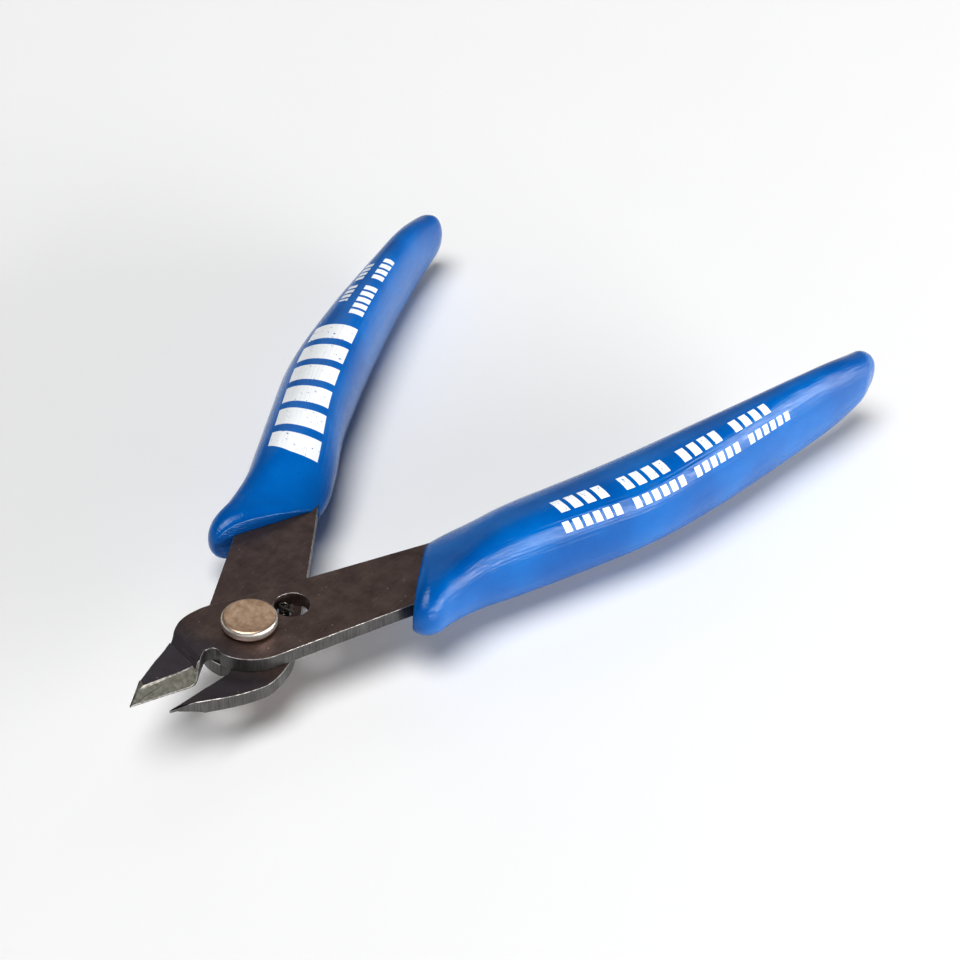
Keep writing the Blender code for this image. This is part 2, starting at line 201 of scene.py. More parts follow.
def arc(centre, radius, start_deg, end_deg, steps):
    """Points on an arc whose radius may grow evenly from radius[0] to radius[1]."""
    points = []
    for i in range(steps + 1):
        share = i / steps
        angle = math.radians(start_deg + (end_deg - start_deg) * share)
        r = radius[0] + (radius[1] - radius[0]) * share
        points.append((centre[0] + r * math.cos(angle), centre[1] + r * math.sin(angle)))
    return points


def through(points, steps):
    """A smooth open curve (Catmull-Rom) through the points."""
    p = [Vector((x, y)) for x, y in points]
    p = [2 * p[0] - p[1]] + p + [2 * p[-1] - p[-2]]
    curve = []
    for a, b, c, d in zip(p, p[1:], p[2:], p[3:]):
        bow = 2 * a - 5 * b + 4 * c - d
        for i in range(steps):
            t = i / steps
            q = (2 * b + (c - a) * t + bow * t**2 + (3 * b - a - 3 * c + d) * t**3) / 2
            curve.append((q.x, q.y))
    curve.append(tuple(points[-1]))
    return curve


def smooth(points, x):
    """Value at x of the smooth curve through (x, value) points."""
    xs = np.array([p[0] for p in points])
    ys = np.array([p[1] for p in points])
    slope = np.gradient(ys, xs)
    x = min(max(x, xs[0]), xs[-1])
    i = min(max(int(np.searchsorted(xs, x)) - 1, 0), len(xs) - 2)
    h = xs[i + 1] - xs[i]
    u = (x - xs[i]) / h
    start = (2 * u**3 - 3 * u**2 + 1) * ys[i] + (u**3 - 2 * u**2 + u) * h * slope[i]
    end = (3 * u**2 - 2 * u**3) * ys[i + 1] + (u**3 - u**2) * h * slope[i + 1]
    return start + end


def mirrored(points):
    """The outline's mirror image in x, running the same way round."""
    return [(-x, y) for x, y in reversed(points)]


def tang(grow):
    """Right and left side of the tang's outline, larger all round by grow."""
    end = TANG_END + grow
    outer = ((50.0, 8.6), (72.0, 7.9), (end, 4.9))
    inner = ((end, 1.6), (72.0, 3.3), (50.0, 2.6), (38.0, 0.9), (33.5, -0.3))
    right = [chord(31.0, plate_outer(31.0) + grow)] + [chord(s, c + grow) for s, c in outer]
    left = [chord(s, c - grow) for s, c in inner] + [chord(31.2, plate_inner(31.2) - grow)]
    return right, left


def blade_outline(side):
    """The whole blade, from where its inner edge leaves the grip, down round the jaw and back."""
    if side == UPPER:
        bend_in = [(-7.2, 0.2), (-8.05, -2.2), (-8.2, -4.1), (-7.75, -5.75), (-7.05, -7.2)]
        jaw = [(-5.45, -12.5), (-3.5, -17.7), (-1.72, -21.88), (-1.62, -21.85), (0.2, -12.7)]
        throat = [(0.2, -12.7), (0.1, -11.3), (-1.1, -9.0)]
    else:
        bend_in = [(-6.7, 0.3), (-7.3, -2.0), (-7.5, -4.2), (-7.3, -6.0), (-6.5, -7.7)]
        jaw = [(-4.6, -11.4), (-2.9, -14.8), (-2.0, -17.4), (-2.08, -18.93), (-2.0, -18.9)]
        jaw.append((-1.4, -11.3))
        throat = [(-1.4, -11.3), (-1.6, -8.6)]
    shoulder = through([chord(1.0, plate_inner(1.0))] + bend_in, SHOULDER_STEPS)
    notch = arc(NOTCH, (NOTCH_R, NOTCH_R), *NOTCH_DEG, NOTCH_STEPS)
    if side == UPPER:
        throat = through(throat + [notch[0]], THROAT_STEPS)[:-1]
    head = arc((0.0, 0.0), (HEAD_R, HEAD_SIDE_R), HEAD_START_DEG, -OUTER_DEG, HEAD_STEPS)
    right, left = tang(0.0)
    outline = left[-1:] + shoulder + jaw + throat[1:] + notch + head + right + left[:-1]
    return outline if side == UPPER else mirrored(outline)


# Mesh helpers

def new_object(name, bm):
    """Turns the finished bmesh into an object in the scene."""
    mesh = bpy.data.meshes.new(name)
    bm.to_mesh(mesh)
    bm.free()
    obj = bpy.data.objects.new(name, mesh)
    bpy.context.collection.objects.link(obj)
    return obj


def prism(name, outline, bottom, top, slots):
    """A closed prism whose ends and sides have the two material slots. Heights may be functions."""
    low = bottom if callable(bottom) else lambda x, y: bottom
    high = top if callable(top) else lambda x, y: top
    bm = bmesh.new()
    under = [bm.verts.new((x, y, low(x, y))) for x, y in outline]
    over = [bm.verts.new((x, y, high(x, y))) for x, y in outline]
    ends = [bm.faces.new(list(reversed(under))), bm.faces.new(over)]
    for face in ends:
        face.material_index = slots[0]
    for i in range(len(outline)):
        j = (i + 1) % len(outline)
        bm.faces.new((under[i], under[j], over[j], over[i])).material_index = slots[1]
    return new_object(name, bm)


def settle(obj):
    """Replaces the object's mesh by what its modifiers make of it."""
    bpy.context.view_layer.update()
    graph = bpy.context.evaluated_depsgraph_get()
    result = bpy.data.meshes.new_from_object(obj.evaluated_get(graph))
    obj.modifiers.clear()
    obj.data = result


def cut(obj, cutters):
    """Takes the cutters out of the object. A cut face keeps its cutter's material slot."""
    for cutter in cutters:
        modifier = obj.modifiers.new("cut", "BOOLEAN")
        modifier.operation = "DIFFERENCE"
        modifier.solver = "EXACT"
        modifier.material_mode = "INDEX"
        modifier.object = cutter
        for slot in obj.data.materials:
            cutter.data.materials.append(slot)
    settle(obj)
    for cutter in cutters:
        bpy.data.objects.remove(cutter)


def at_pivot(obj, sharp_deg):
    """Scales the mesh to metres, shades it and puts the object on the pivot."""
    obj.data.transform(Matrix.Scale(MM, 4))
    obj.data.shade_smooth()
    obj.data.set_sharp_from_angle(angle=math.radians(sharp_deg))
    obj.location = PIVOT


def plane_height(a, b, c):
    """Height at (x, y) of the plane through three points."""
    a, b, c = Vector(a), Vector(b), Vector(c)
    normal = (b - a).cross(c - a)
    return lambda x, y: a.z - (normal.x * (x - a.x) + normal.y * (y - a.y)) / normal.z


# Blades

def bend(obj, side):
    """Splits the blade across its bend, then lifts the jaw."""
    lean = math.radians(JAW_LEAN_DEG)
    slope = math.tan(math.radians(BEND_DEG))
    forward = Vector((-side * math.sin(lean), -math.cos(lean), 0.0))
    start = BEND_AT - BEND_HALF
    bm = bmesh.new()
    bm.from_mesh(obj.data)
    for k in range(BEND_STEPS + 1):
        station = start + 2 * BEND_HALF * k / BEND_STEPS
        geometry = bm.verts[:] + bm.edges[:] + bm.faces[:]
        bmesh.ops.bisect_plane(bm, geom=geometry, dist=SNAP, plane_co=forward * station, plane_no=forward)
    for vertex in bm.verts:
        along = forward.dot(vertex.co) - start
        if along > 2 * BEND_HALF:
            vertex.co.z += slope * (along - BEND_HALF)
        elif along > 0:
            vertex.co.z += slope * along**2 / (4 * BEND_HALF)
    bm.to_mesh(obj.data)
    bm.free()


def disc(centre, radius, low, high):
    """Round cutter whose wall is oxide black."""
    outline = arc(centre, (radius, radius), 0.0, 360.0 - 360.0 / DISC_STEPS, DISC_STEPS - 1)
    return prism("disc", outline, low, high, (OXIDE, OXIDE))


def upper_cutters():
    """Rivet hole, window, ground jaw with its rolled step, cutting bevel and tip of the upper blade."""
    low, high = MATE - INSIDE, FACE + ABOVE
    edge = MATE + EDGE_LAND
    crease = (Vector((-12.0, -5.24)), Vector((3.0, -10.82)))
    behind = (crease[1] - crease[0]).orthogonal().normalized() * SHOULDER_RUN
    ground_area = [crease[0], (-12.0, -26.0), (6.0, -26.0), crease[1]]
    step_area = [crease[0] + 3 * behind, crease[0] - behind, crease[1] - behind, crease[1] + 3 * behind]
    step_back = (*(crease[0] + behind), FACE + SHOULDER_OVER)
    step = plane_height((*crease[0], GROUND_FACE), (*crease[1], GROUND_FACE), step_back)
    bevel_area = [(-3.1, -23.5), (2.2, -23.5), (2.2, -8.9), (-1.25, -8.9)]
    bevel = plane_height((0.2, -12.7, edge), (-1.6, -21.8, edge), (-1.5, -10.5, GROUND_FACE))
    tip_area = [(-6.0, -16.2), (-6.0, -24.0), (1.5, -24.0), (1.5, -20.6)]
    tip = plane_height((-3.5, -17.7, GROUND_FACE), (-2.26, -18.4, GROUND_FACE), (-1.7, -21.9, edge))
    return [
        disc((0.0, 0.0), RIVET_HOLE_R, low, high),
        disc(UPPER_WINDOW, WINDOW_R, low, high),
        prism("ground", ground_area, GROUND_FACE, high, (JAW, JAW)),
        prism("step", step_area, step, high, (OXIDE, OXIDE)),
        prism("bevel", bevel_area, bevel, high, (GRIND, GRIND)),
        prism("tip", tip_area, tip, high, (GRIND, GRIND)),
    ]


def lower_cutters():
    """Rivet hole, window, relief below the cutting edge and tip of the lower blade."""
    low, high = -FACE - ABOVE, INSIDE - MATE
    edge = -MATE - LOWER_LAND
    relief_area = [(-2.0, -7.6), (-2.0, -21.5), (3.3, -21.5), (2.6, -7.6)]
    relief = plane_height((1.4, -11.3, edge), (2.0, -18.9, edge), (2.3, -11.3, -FACE))
    tip_area = [(-2.0, -14.3), (-2.0, -22.0), (8.0, -22.0), (8.0, -13.3)]
    tip = plane_height((4.0, -13.7, -FACE), (0.0, -14.1, -FACE), (2.05, -18.95, -MATE - LOWER_TIP))
    return [
        disc((0.0, 0.0), RIVET_HOLE_R, low, high),
        disc(LOWER_WINDOW, WINDOW_R, low, high),
        prism("relief", relief_area, low, relief, (GRIND, GRIND)),
        prism("tip", tip_area, low, tip, (GRIND, GRIND)),
    ]


def blade(name, side, materials):
    """Stamped plate with its cuts, worn edges and bent-up jaw."""
    low, high = (MATE, FACE) if side == UPPER else (-FACE, -MATE)
    obj = prism(name, blade_outline(side), low, high, (OXIDE, SIDE))
    for material in materials:
        obj.data.materials.append(material)
    cut(obj, upper_cutters() if side == UPPER else lower_cutters())
    modifier = obj.modifiers.new("edges", "BEVEL")
    modifier.width = EDGE_ROUND
    modifier.segments = EDGE_ROUND_STEPS
    modifier.limit_method = "ANGLE"
    modifier.angle_limit = math.radians(EDGE_ROUND_DEG)
    modifier.use_clamp_overlap = False
    modifier.material = WORN
    settle(obj)
    bend(obj, side)
    at_pivot(obj, BLADE_SHARP_DEG)
    return obj


# Rivet and spring

def rivet(name):
    """Turned pin: a coin-like head with a rounded rim, a shank, and a peened tail."""
    seat = FACE + RIVET_SEAT
    rim = [
        (2.2, RIVET_TOP - 0.01), (3.0, RIVET_TOP - 0.05), (3.4, RIVET_TOP - 0.12),
        (3.6, RIVET_TOP - 0.28), (3.69, RIVET_TOP - 0.5), (RIVET_HEAD_R, RIVET_TOP - 0.8),
        (3.62, FACE + 0.7), (3.35, FACE + 0.3), (2.9, seat),
    ]
    head = [(0.0, RIVET_TOP), (1.6, RIVET_TOP)] + through(rim, RIM_STEPS)
    tail = [(RIVET_TAIL_R - 0.08, -seat), (RIVET_TAIL_R, -FACE - 0.12)]
    tail += arc((RIVET_TAIL_R - 0.5, -FACE - 0.45), (0.5, 0.5), 0.0, -60.0, 6)
    tail += [(2.2, -RIVET_TAIL + 0.1), (1.3, -RIVET_TAIL), (0.0, -RIVET_TAIL)]
    profile = head + [(SHANK_R, seat), (SHANK_R, -seat)] + tail
    bm = bmesh.new()
    verts = [bm.verts.new((r, 0.0, z)) for r, z in profile]
    edges = [bm.edges.new(pair) for pair in zip(verts, verts[1:])]
    whole_turn = {"axis": (0, 0, 1), "cent": (0, 0, 0), "angle": math.tau, "use_merge": True}
    bmesh.ops.spin(bm, geom=verts + edges, steps=RIVET_STEPS, **whole_turn)
    bmesh.ops.remove_doubles(bm, verts=bm.verts[:], dist=MERGE)
    bmesh.ops.recalc_face_normals(bm, faces=bm.faces[:])
    obj = new_object(name, bm)
    at_pivot(obj, RIVET_SHARP_DEG)
    return obj


def spring_path():
    """Lower leg, coil and upper leg, as one line of points."""
    x, y = COIL_AT
    leg_y = y - COIL_R
    points = [Vector((LOWER_LEG_END, leg_y, -COIL_HALF)), Vector((x - LEG_START, leg_y, -COIL_HALF))]
    for i in range(COIL_TURNS * COIL_STEPS + 1):
        share = i / (COIL_TURNS * COIL_STEPS)
        angle = math.radians(-90.0) + math.tau * COIL_TURNS * share
        z = -COIL_HALF + 2 * COIL_HALF * share
        points.append(Vector((x + COIL_R * math.cos(angle), y + COIL_R * math.sin(angle), z)))
    points += [Vector((x + LEG_START, leg_y, COIL_HALF)), Vector((UPPER_LEG_END, leg_y, COIL_HALF))]
    return points


def close_rings(bm, rings):
    """Skins the rings of points one after the other, with flat ends."""
    for a, b in zip(rings, rings[1:]):
        for k in range(len(a)):
            j = (k + 1) % len(a)
            bm.faces.new((a[k], a[j], b[j], b[k]))
    bm.faces.new(rings[0])
    bm.faces.new(rings[-1])
    bmesh.ops.recalc_face_normals(bm, faces=bm.faces[:])


def spring(name):
    """Round wire along the spring's path, which never runs straight up."""
    bm = bmesh.new()
    path = spring_path()
    turns = [math.tau * k / WIRE_SIDES for k in range(WIRE_SIDES)]
    rings = []
    for i, point in enumerate(path):
        before, after = path[max(i - 1, 0)], path[min(i + 1, len(path) - 1)]
        along = (after - before).normalized()
        across = along.cross(Vector((0, 0, 1))).normalized()
        over = across.cross(along)
        offsets = [across * math.cos(turn) + over * math.sin(turn) for turn in turns]
        rings.append([bm.verts.new(point + WIRE / 2 * offset) for offset in offsets])
    close_rings(bm, rings)
    obj = new_object(name, bm)
    at_pivot(obj, SOFT_SHARP_DEG)
    return obj


# Grips

def grip_stations():
    """(s on the outer side, s on the inner side, lip inset, scale) from the rim to the end."""
    outer_start = GRIP_FRONT[0] + GRIP_LIP
    inner_start = GRIP_FRONT[1] + GRIP_LIP
    stations = []
    for k in range(GRIP_LIP_STEPS):
        angle = math.radians(90.0 * k / GRIP_LIP_STEPS)
        depth = GRIP_LIP * (1 - math.cos(angle))
        stations.append((GRIP_FRONT[0] + depth, GRIP_FRONT[1] + depth, 1 - math.sin(angle), 1.0))
    for k in range(GRIP_RINGS + 1):
        outer = outer_start + (GRIP_BODY_END - outer_start) * (k / GRIP_RINGS) ** GRIP_CROWDING
        share = min(1.0, (outer - outer_start) / GRIP_EVEN)
        lag = (inner_start - outer_start) * (1 - share) ** 2 * (1 + 2 * share)
        stations.append((outer, min(outer + lag, GRIP_BODY_END), 0.0, 1.0))
    last = math.radians(GRIP_END_DEG)
    for k in range(1, GRIP_END_STEPS + 1):
        angle = last * k / GRIP_END_STEPS
        s = GRIP_BODY_END + (GRIP_END - GRIP_BODY_END) * math.sin(angle) / math.sin(last)
        stations.append((s, s, 0.0, math.cos(angle)))
    return stations


def grip_section(outer_s, inner_s, inset, scale):
    """The section's centre and half width in plan, its half height and its skew."""
    drop = max(0.0, outer_s - GRIP_BODY_END)
    outer_c = smooth(GRIP_OUTER, outer_s) - GRIP_END_TURN * drop - inset
    inner_c = smooth(GRIP_INNER, inner_s) + GRIP_LIP_INSIDE * inset
    outer = Vector(chord(outer_s, outer_c))
    inner = Vector(chord(inner_s, inner_c))
    middle = (outer_s + inner_s) / 2
    height = (smooth(GRIP_HALF_HEIGHT, middle) * GRIP_FIT - GRIP_LIP_FLAT * inset) * scale
    share = min(1.0, max(0.0, (middle - GRIP_FRONT[0]) / (GRIP_SKEW_END - GRIP_FRONT[0])))
    skew = GRIP_SKEW * (1 - share) ** 2 * (1 + 2 * share)
    return (outer + inner) / 2, (outer - inner) / 2 * scale, height, skew


def power(value, exponent):
    """The value's size raised to the exponent, with its sign kept."""
    return math.copysign(abs(value) ** exponent, value)


def grip_rings(bm, side):
    """Points of every section, and each point's place: s, and the angle round from the outer side."""
    rings = []
    placed = {}
    for station in grip_stations():
        outer_s, inner_s = station[:2]
        centre, half, height, skew = grip_section(*station)
        ring = []
        for k in range(GRIP_SIDES):
            angle = math.tau * k / GRIP_SIDES
            outward = power(math.cos(angle), 2 / GRIP_POWER)
            point = centre + half * outward
            z = side * GRIP_MID + height * power(math.sin(angle), 2 / GRIP_POWER) * (1 + skew * outward)
            vertex = bm.verts.new((side * point.x, point.y, z))
            placed[vertex] = ((outer_s + inner_s) / 2 + (outer_s - inner_s) / 2 * outward, angle)
            ring.append(vertex)
        rings.append(ring)
    return rings, placed


def lay_chart(bm, placed):
    """Chart of the grip: u is s, and v runs outward from 0 at the top to 1 at the outer side."""
    chart = bm.loops.layers.uv["chart"]
    quarter = math.pi / 2
    for face in bm.faces:
        wraps = max(placed[v][1] for v in face.verts) > 3.5 * quarter and len(face.verts) == 4
        for loop in face.loops:
            s, angle = placed[loop.vert]
            if wraps and angle < quarter:
                angle += math.tau
            if angle > 3 * quarter:
                angle -= math.tau
            loop[chart].uv = (s / CHART_MM, (quarter - angle) / quarter)


def tang_slot(side):
    """Cutter for the room that the tang takes in the grip."""
    right, left = tang(SLOT_GAP)
    outline = [chord(GRIP_MOUTH, plate_outer(GRIP_MOUTH) + SLOT_GAP)] + right + left
    outline.append(chord(GRIP_MOUTH, plate_inner(GRIP_MOUTH) - SLOT_GAP))
    if side == LOWER:
        outline = mirrored(outline)
    low, high = sorted((side * (MATE - SLOT_GAP), side * (FACE + SLOT_GAP)))
    return prism("slot", outline, low, high, (0, 0))


def grip(name, side, material):
    """Moulded sleeve round the tang."""
    bm = bmesh.new()
    bm.loops.layers.uv.new("chart")
    rings, placed = grip_rings(bm, side)
    close_rings(bm, rings)
    lay_chart(bm, placed)
    obj = new_object(name, bm)
    obj.data.materials.append(material)
    cut(obj, [tang_slot(side)])
    at_pivot(obj, SOFT_SHARP_DEG)
    return obj


# Materials

class Material:
    """A Principled material and short ways to add nodes to it."""

    def __init__(self, name, **sockets):
        self.material = bpy.data.materials.new(name)
        self.material.use_nodes = True
        self.tree = self.material.node_tree
        self.shader = self.tree.nodes["Principled BSDF"]
        for socket, value in sockets.items():
            self.shader.inputs[socket.replace("_", " ")].default_value = value
        coordinates = self.tree.nodes.new("ShaderNodeTexCoord").outputs["Object"]
        self.mm = self.mapped(coordinates, (1 / MM, 1 / MM, 1 / MM))

    def link(self, value, socket):
        """Feeds the socket from another node's output, or sets it to a plain value."""
        if hasattr(value, "is_output"):
            self.tree.links.new(value, socket)
        else:
            socket.default_value = value

    def node(self, kind, values, **settings):
        """A new node with these inputs, by name or number, and these settings."""
        node = self.tree.nodes.new(kind)
        for name, value in settings.items():
            setattr(node, name, value)
        for key, value in values.items():
            self.link(value, node.inputs[key])
        return node

    def mapped(self, vector, scale, turn_deg=0.0):
        """The vector scaled along each axis, after a turn about z."""
        values = {"Vector": vector, "Scale": scale, "Rotation": (0.0, 0.0, math.radians(turn_deg))}
        return self.node("ShaderNodeMapping", values).outputs[0]

    def math(self, operation, *values):
        """The operation's result on one to three numbers."""
        return self.node("ShaderNodeMath", dict(enumerate(values)), operation=operation).outputs[0]

    def noise(self, vector, scale, detail=4.0, rough=0.55):
        """Even noise, with about scale spots in one unit of the vector."""
        values = {"Vector": vector, "Scale": scale, "Detail": detail, "Roughness": rough}
        return self.node("ShaderNodeTexNoise", values).outputs["Fac"]

    def streaks(self, vector, scale, turn_deg=0.0, detail=3.0, rough=0.55):
        """Noise with its own scale along each axis, so that it is stretched where that is low."""
        return self.noise(self.mapped(vector, scale, turn_deg), 1.0, detail, rough)

    def ramp(self, value, low, high, to_low=0.0, to_high=1.0):
        """Turns low..high into to_low..to_high, and holds it there beyond."""
        ranges = {"From Min": low, "From Max": high, "To Min": to_low, "To Max": to_high}
        return self.node("ShaderNodeMapRange", {"Value": value, **ranges}).outputs["Result"]

    def mix(self, factor, a, b):
        """Colour a at 0, colour b at 1."""
        node = self.tree.nodes.new("ShaderNodeMix")
        node.data_type = "RGBA"
        self.link(factor, node.inputs["Factor"])
        self.link(a, node.inputs[6])
        self.link(b, node.inputs[7])
        return node.outputs[2]

    def bump(self, height, distance_mm, strength):
        """Lets the height shape the shader's normals."""
        values = {"Height": height, "Distance": distance_mm * MM, "Strength": strength}
        normal = self.node("ShaderNodeBump", values).outputs[0]
        self.link(normal, self.shader.inputs["Normal"])
        self.link(normal, self.shader.inputs["Coat Normal"])

    def set(self, socket, value):
        """Feeds or sets the shader's socket."""
        self.link(value, self.shader.inputs[socket])


def rgb(red, green, blue):
    """An opaque colour, in linear light."""
    return (red, green, blue, 1.0)


def oxide_steel(name, dark, light, turn_deg):
    """Black oxide with fine rolling lines, scratches and bright specks, and painted shade that turns it
    darker and bluer towards the jaws.
    """
    m = Material(name, Metallic=0.75)
    cloud = m.noise(m.mm, scale=0.35, detail=5.0, rough=0.6)
    grain = m.streaks(m.mm, (9.0, 0.5, 9.0), turn_deg, rough=0.6)
    tone = m.math("ADD", m.math("MULTIPLY", cloud, 0.65), m.math("MULTIPLY", grain, 0.35))
    colour = m.mix(m.ramp(tone, 0.35, 0.68), rgb(*dark), rgb(*light))
    # Painted shade: from 2 to 5.5 mm in front of the pivot the colour turns darker and bluer, over the
    # shoulder and the jaws.
    y = m.node("ShaderNodeSeparateXYZ", {0: m.mm}).outputs[1]
    painted_jaw_shade = m.ramp(m.math("MULTIPLY_ADD", cloud, 3.0, y), -2.0, -5.5)
    colour = m.mix(m.math("MULTIPLY", painted_jaw_shade, 0.8), colour, rgb(0.07, 0.066, 0.08))
    scratch = m.streaks(m.mm, (6.5, 0.28, 6.5), turn_deg + 24.0, detail=2.0, rough=0.5)
    crossing = m.streaks(m.mm, (7.5, 0.33, 7.5), turn_deg - 52.0, detail=2.0, rough=0.5)
    marks = m.math("MAXIMUM", m.ramp(scratch, 0.735, 0.78), m.ramp(crossing, 0.74, 0.785))
    speck = m.ramp(m.noise(m.mm, scale=3.2, detail=2.0, rough=0.4), 0.745, 0.775)
    worn = m.math("MAXIMUM", m.math("MULTIPLY", marks, 0.5), speck)
    m.set("Base Color", m.mix(worn, colour, rgb(0.42, 0.37, 0.33)))
    m.set("Roughness", m.ramp(tone, 0.3, 0.7, 0.52, 0.36))
    relief = m.math("SUBTRACT", grain, m.math("MULTIPLY", worn, 0.8))
    m.bump(relief, distance_mm=0.012, strength=0.6)
    return m.material


def sheared_steel(name):
    """Stamped side wall: grey, with lines across the sheet's thickness."""
    m = Material(name, Metallic=0.8)
    lines = m.streaks(m.mm, (5.0, 5.0, 0.35), detail=4.0, rough=0.65)
    band = m.noise(m.mm, scale=0.5, detail=3.0, rough=0.5)
    tone = m.math("ADD", m.math("MULTIPLY", lines, 0.7), m.math("MULTIPLY", band, 0.3))
    m.set("Base Color", m.mix(m.ramp(tone, 0.36, 0.66), rgb(0.075, 0.07, 0.07), rgb(0.15, 0.145, 0.142)))
    m.set("Roughness", m.ramp(lines, 0.3, 0.7, 0.5, 0.36))
    m.bump(lines, distance_mm=0.008, strength=0.6)
    return m.material


def ground_steel(name, turn_deg):
    """Freshly ground bevel: silver with a faint straw tint and fine wheel lines."""
    m = Material(name, Metallic=0.9)
    lines = m.streaks(m.mm, (1.2, 16.0, 1.2), turn_deg, rough=0.6)
    cloud = m.noise(m.mm, scale=1.6, rough=0.6)
    m.set("Base Color", m.mix(m.ramp(cloud, 0.35, 0.68), rgb(0.42, 0.41, 0.33), rgb(0.74, 0.72, 0.64)))
    m.set("Roughness", m.ramp(lines, 0.3, 0.7, 0.44, 0.3))
    m.bump(lines, distance_mm=0.012, strength=0.6)
    return m.material


def worn_edge(name):
    """Thin bare line along every stamped edge."""
    m = Material(name, Metallic=0.85)
    breaks = m.noise(m.mm, scale=1.3, rough=0.6)
    m.set("Base Color", m.mix(m.ramp(breaks, 0.42, 0.6), rgb(0.16, 0.145, 0.14), rgb(0.46, 0.44, 0.42)))
    m.set("Roughness", m.ramp(breaks, 0.3, 0.7, 0.45, 0.28))
    m.bump(breaks, distance_mm=0.01, strength=0.5)
    return m.material


def rivet_steel(name):
    """Warm satin plating with turning rings, a few handling marks and a painted highlight: a pale silver
    band round the rim of the head.
    """
    m = Material(name, Metallic=0.9)
    place = m.node("ShaderNodeSeparateXYZ", {0: m.mm}).outputs
    squares = [m.math("MULTIPLY", axis, axis) for axis in place[:2]]
    radius = m.math("SQRT", m.math("ADD", *squares))
    rings = m.math("SINE", m.math("MULTIPLY", radius, 26.0))
    cloud = m.noise(m.mm, scale=0.9, rough=0.6)
    marks = m.ramp(m.streaks(m.mm, (3.2, 0.5, 3.2), 38.0, detail=2.0), 0.6, 0.75)
    colour = m.mix(m.ramp(cloud, 0.35, 0.65), rgb(0.55, 0.36, 0.24), rgb(0.78, 0.56, 0.4))
    # Real handling marks, plus a painted highlight: past 3.45 mm from the axis the head turns pale silver
    # all round its rim.
    worn = m.math("MAXIMUM", m.math("MULTIPLY", marks, 0.4), m.ramp(radius, 3.45, 3.62))
    m.set("Base Color", m.mix(worn, colour, rgb(0.85, 0.8, 0.75)))
    m.set("Roughness", m.ramp(cloud, 0.3, 0.7, 0.42, 0.3))
    m.bump(m.math("ADD", m.math("MULTIPLY", rings, 0.35), cloud), distance_mm=0.006, strength=0.5)
    return m.material


def spring_steel(name):
    """Dark drawn wire."""
    m = Material(name, Metallic=0.95)
    drawn = m.streaks(m.mm, (2.0, 2.0, 12.0))
    m.set("Base Color", m.mix(drawn, rgb(0.06, 0.055, 0.05), rgb(0.2, 0.19, 0.175)))
    m.set("Roughness", m.ramp(drawn, 0.3, 0.7, 0.38, 0.24))
    return m.material


def tick_row(m, s, v, row):
    """Mask of one printed row of blocks."""
    masks = []
    for value, limits in ((s, row.s_range), (v, row.v_range)):
        above = m.math("GREATER_THAN", value, limits[0])
        masks.append(m.math("MULTIPLY", above, m.math("LESS_THAN", value, limits[1])))
    along = m.math("MULTIPLY_ADD", v, row.slant, m.math("SUBTRACT", s, row.s_range[0]))
    block = m.math("DIVIDE", along, row.period)
    inked = m.math("LESS_THAN", m.math("FRACT", block), row.duty)
    kept = m.math("LESS_THAN", m.math("FRACT", m.math("DIVIDE", block, row.group)), 1 - 1 / row.group)
    return m.math("MULTIPLY", m.math("MULTIPLY", *masks), m.math("MULTIPLY", inked, kept))


def vinyl(name, rows):
    """Glossy blue dipped vinyl with faint lengthwise flow lines and a worn white print."""
    m = Material(name, Specular_IOR_Level=0.38)
    chart = m.tree.nodes.new("ShaderNodeUVMap")
    chart.uv_map = "chart"
    uv = m.node("ShaderNodeSeparateXYZ", {0: chart.outputs[0]}).outputs
    s = m.math("MULTIPLY", uv[0], CHART_MM)
    flow = m.streaks(chart.outputs[0], (6.0, 26.0, 1.0), detail=4.0, rough=0.6)
    cloud = m.noise(m.mm, scale=0.09, detail=3.0, rough=0.5)
    colour = m.mix(m.ramp(cloud, 0.35, 0.65), rgb(0.0, 0.092, 0.34), rgb(0.0, 0.135, 0.45))
    print_mask = 0.0
    for row in rows:
        print_mask = m.math("MAXIMUM", print_mask, tick_row(m, s, uv[1], row))
    whole = m.ramp(m.noise(m.mm, scale=1.6, detail=5.0, rough=0.65), 0.34, 0.37)
    ink = m.math("MULTIPLY", print_mask, whole)
    m.set("Base Color", m.mix(ink, colour, rgb(0.82, 0.84, 0.86)))
    m.set("Roughness", m.ramp(flow, 0.3, 0.7, 0.08, 0.15))
    orange_peel = m.noise(m.mm, scale=0.45, detail=3.0, rough=0.5)
    skin = m.math("ADD", m.math("MULTIPLY", flow, 0.8), m.math("MULTIPLY", orange_peel, 0.5))
    relief = m.math("ADD", skin, m.math("MULTIPLY", ink, 0.05))
    m.bump(relief, distance_mm=0.15, strength=0.8)
    return m.material


# Stage

def paint_floor():
    """Plain pale floor, far wider than the view."""
    m = Material("studio_floor", Roughness=0.6)
    cloud = m.noise(m.mm, scale=0.02, detail=2.0)
    m.set("Base Color", m.mix(cloud, rgb(0.93, 0.93, 0.93), rgb(0.95, 0.95, 0.95)))
    bm = bmesh.new()
    bmesh.ops.create_grid(bm, x_segments=1, y_segments=1, size=2.5)
    floor = new_object("studio_floor", bm)
    floor.data.materials.append(m.material)


def from_pivot(azimuth, elevation):
    """Unit vector towards an azimuth, 0 behind the jaws, and an elevation."""
    az, el = math.radians(azimuth), math.radians(elevation)
    return Vector((math.sin(az) * math.cos(el), -math.cos(az) * math.cos(el), math.sin(el)))


def softbox(name, azimuth, elevation, distance, size, power_w):
    """Rectangular light that shines at the middle of the tool."""
    light = bpy.data.lights.new(name, "AREA")
    light.shape = "RECTANGLE"
    light.size, light.size_y = size
    light.energy = power_w
    obj = bpy.data.objects.new(name, light)
    bpy.context.collection.objects.link(obj)
    towards = from_pivot(azimuth, elevation)
    obj.location = PIVOT + CAMERA_AIM + towards * distance
    obj.rotation_euler = towards.to_track_quat("Z", "Y").to_euler()


